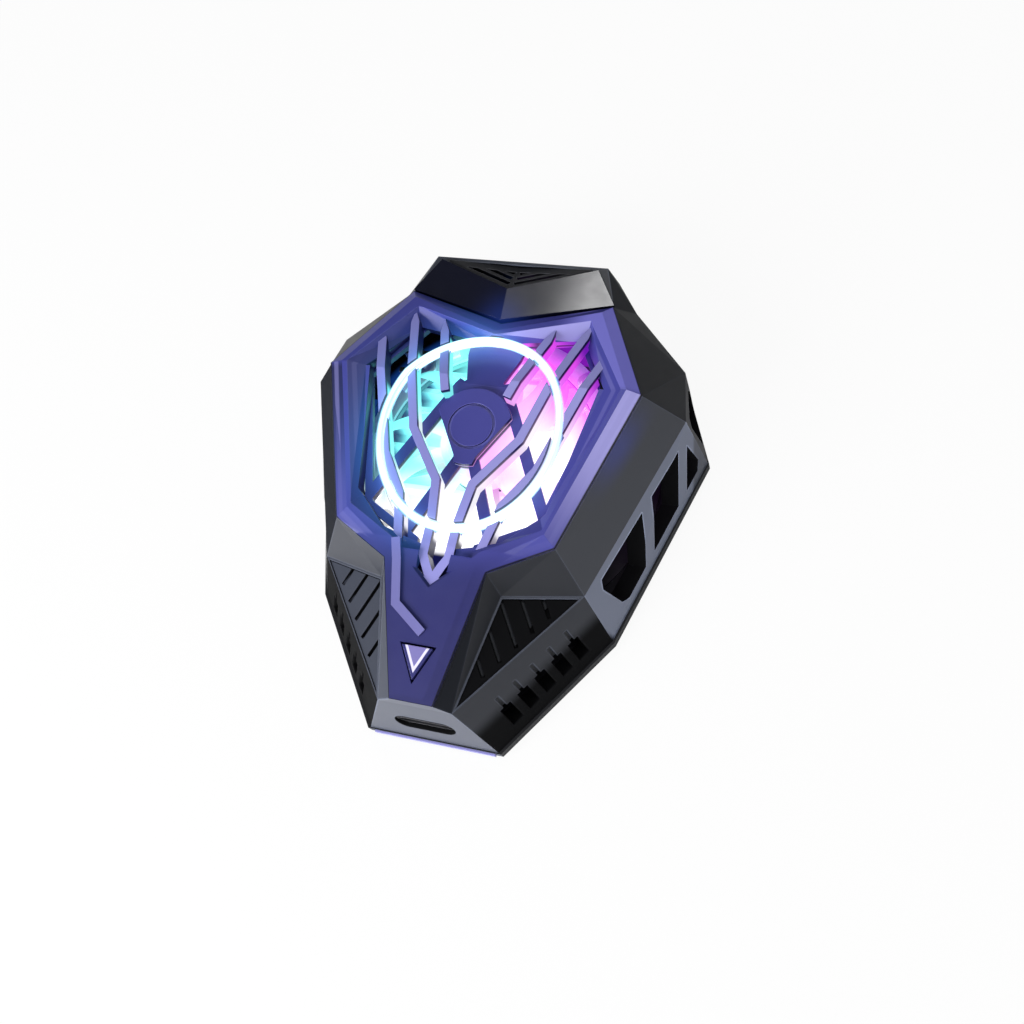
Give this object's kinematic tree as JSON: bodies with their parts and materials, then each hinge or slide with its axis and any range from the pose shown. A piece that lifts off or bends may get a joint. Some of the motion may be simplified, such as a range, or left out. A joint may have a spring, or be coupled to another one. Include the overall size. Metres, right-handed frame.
{
  "type": "phone cooling fan",
  "caption": "Magnetic phone cooling fan: faceted dark housing, folded purple grille with a lit oval ring, axial fan over a heat sink and thermoelectric cold plate, USB-C inlet.",
  "frame": {"origin": "on the contact pad's face at the back, on the fan axis", "axes": "+Z along the fan axis out of the grille, +Y towards the vent end, -Y towards the USB-C inlet, +X to the right when seen from the grille"},
  "size_m": [0.0652, 0.0746, 0.0224],
  "materials": {
    "black_plastic": "fine satin moulding",
    "grey_plastic": "satin gunmetal moulding",
    "purple_plastic": "satin purple moulding",
    "deep_purple_plastic": "satin deep purple moulding",
    "lavender_plastic": "gloss lavender moulding",
    "gloss_black": "polished black",
    "silicone": "soft matt silicone",
    "aluminium": "fine machined",
    "screw_steel": "black oxide",
    "magnet_nickel": "nickel plated",
    "yoke_steel": "plain sheet steel",
    "white_ceramic": "matt alumina",
    "semiconductor": "dull grey alloy",
    "foam_seal": "closed-cell foam",
    "bronze": "sintered",
    "copper_wire": "enamelled wire",
    "ferrite": "bonded ferrite",
    "shaft_steel": "ground",
    "white_board": "white solder mask",
    "lamp": "clear lens over a lit chip",
    "light_guide": "lit clear acrylic",
    "milky_plastic": "translucent moulding",
    "green_board": "solder mask",
    "socket_steel": "plated shell",
    "switch_metal": "stamped"
  },
  "bodies": {
    "housing": {"rear_cover": "black_plastic", "rear_screws": "screw_steel", "tail_trim": "purple_plastic", "contact_pad": "silicone", "cold_plate": "aluminium", "magnets": "magnet_nickel", "magnet_yoke": "yoke_steel", "tec_cold_side": "white_ceramic", "tec_legs": "semiconductor", "tec_hot_side": "white_ceramic", "tec_seal": "foam_seal", "heat_sink": "aluminium", "sink_screws": "screw_steel", "fan_frame": "black_plastic", "frame_screws": "screw_steel", "bearing_sleeve": "bronze", "stator_core": "yoke_steel", "stator_coils": "copper_wire", "lamp_board": "white_board", "lamps": "lamp", "inner_grille": "deep_purple_plastic", "hub_cap": "purple_plastic", "light_ring": "light_guide", "front_cover": "purple_plastic", "top_cap": "gloss_black", "top_vent": "black_plastic", "body_shell": "grey_plastic", "grip_right": "black_plastic", "grip_left": "black_plastic", "main_board": "green_board", "board_screws": "screw_steel", "usb_shell": "socket_steel", "usb_tongue": "black_plastic", "tact_switch": "switch_metal"},
    "rotor": {"fan_rotor": "milky_plastic", "rotor_yoke": "yoke_steel", "rotor_magnet": "ferrite", "rotor_shaft": "shaft_steel"},
    "button": {"mode_button": "lavender_plastic", "switch_plunger": "black_plastic"}
  },
  "joints": [
    {"name": "fan_spin", "type": "hinge", "parent": "housing", "child": "rotor", "pos_m": [0, 0, 0.0126], "axis": [0, 0, 1], "continuous": true},
    {"name": "mode_press", "type": "slide", "parent": "housing", "child": "button", "axis": [0, 0, -1], "range_m": [0, 0.0004], "stiffness_N_per_m": 2500, "springref_m": -0.0001}
  ]
}
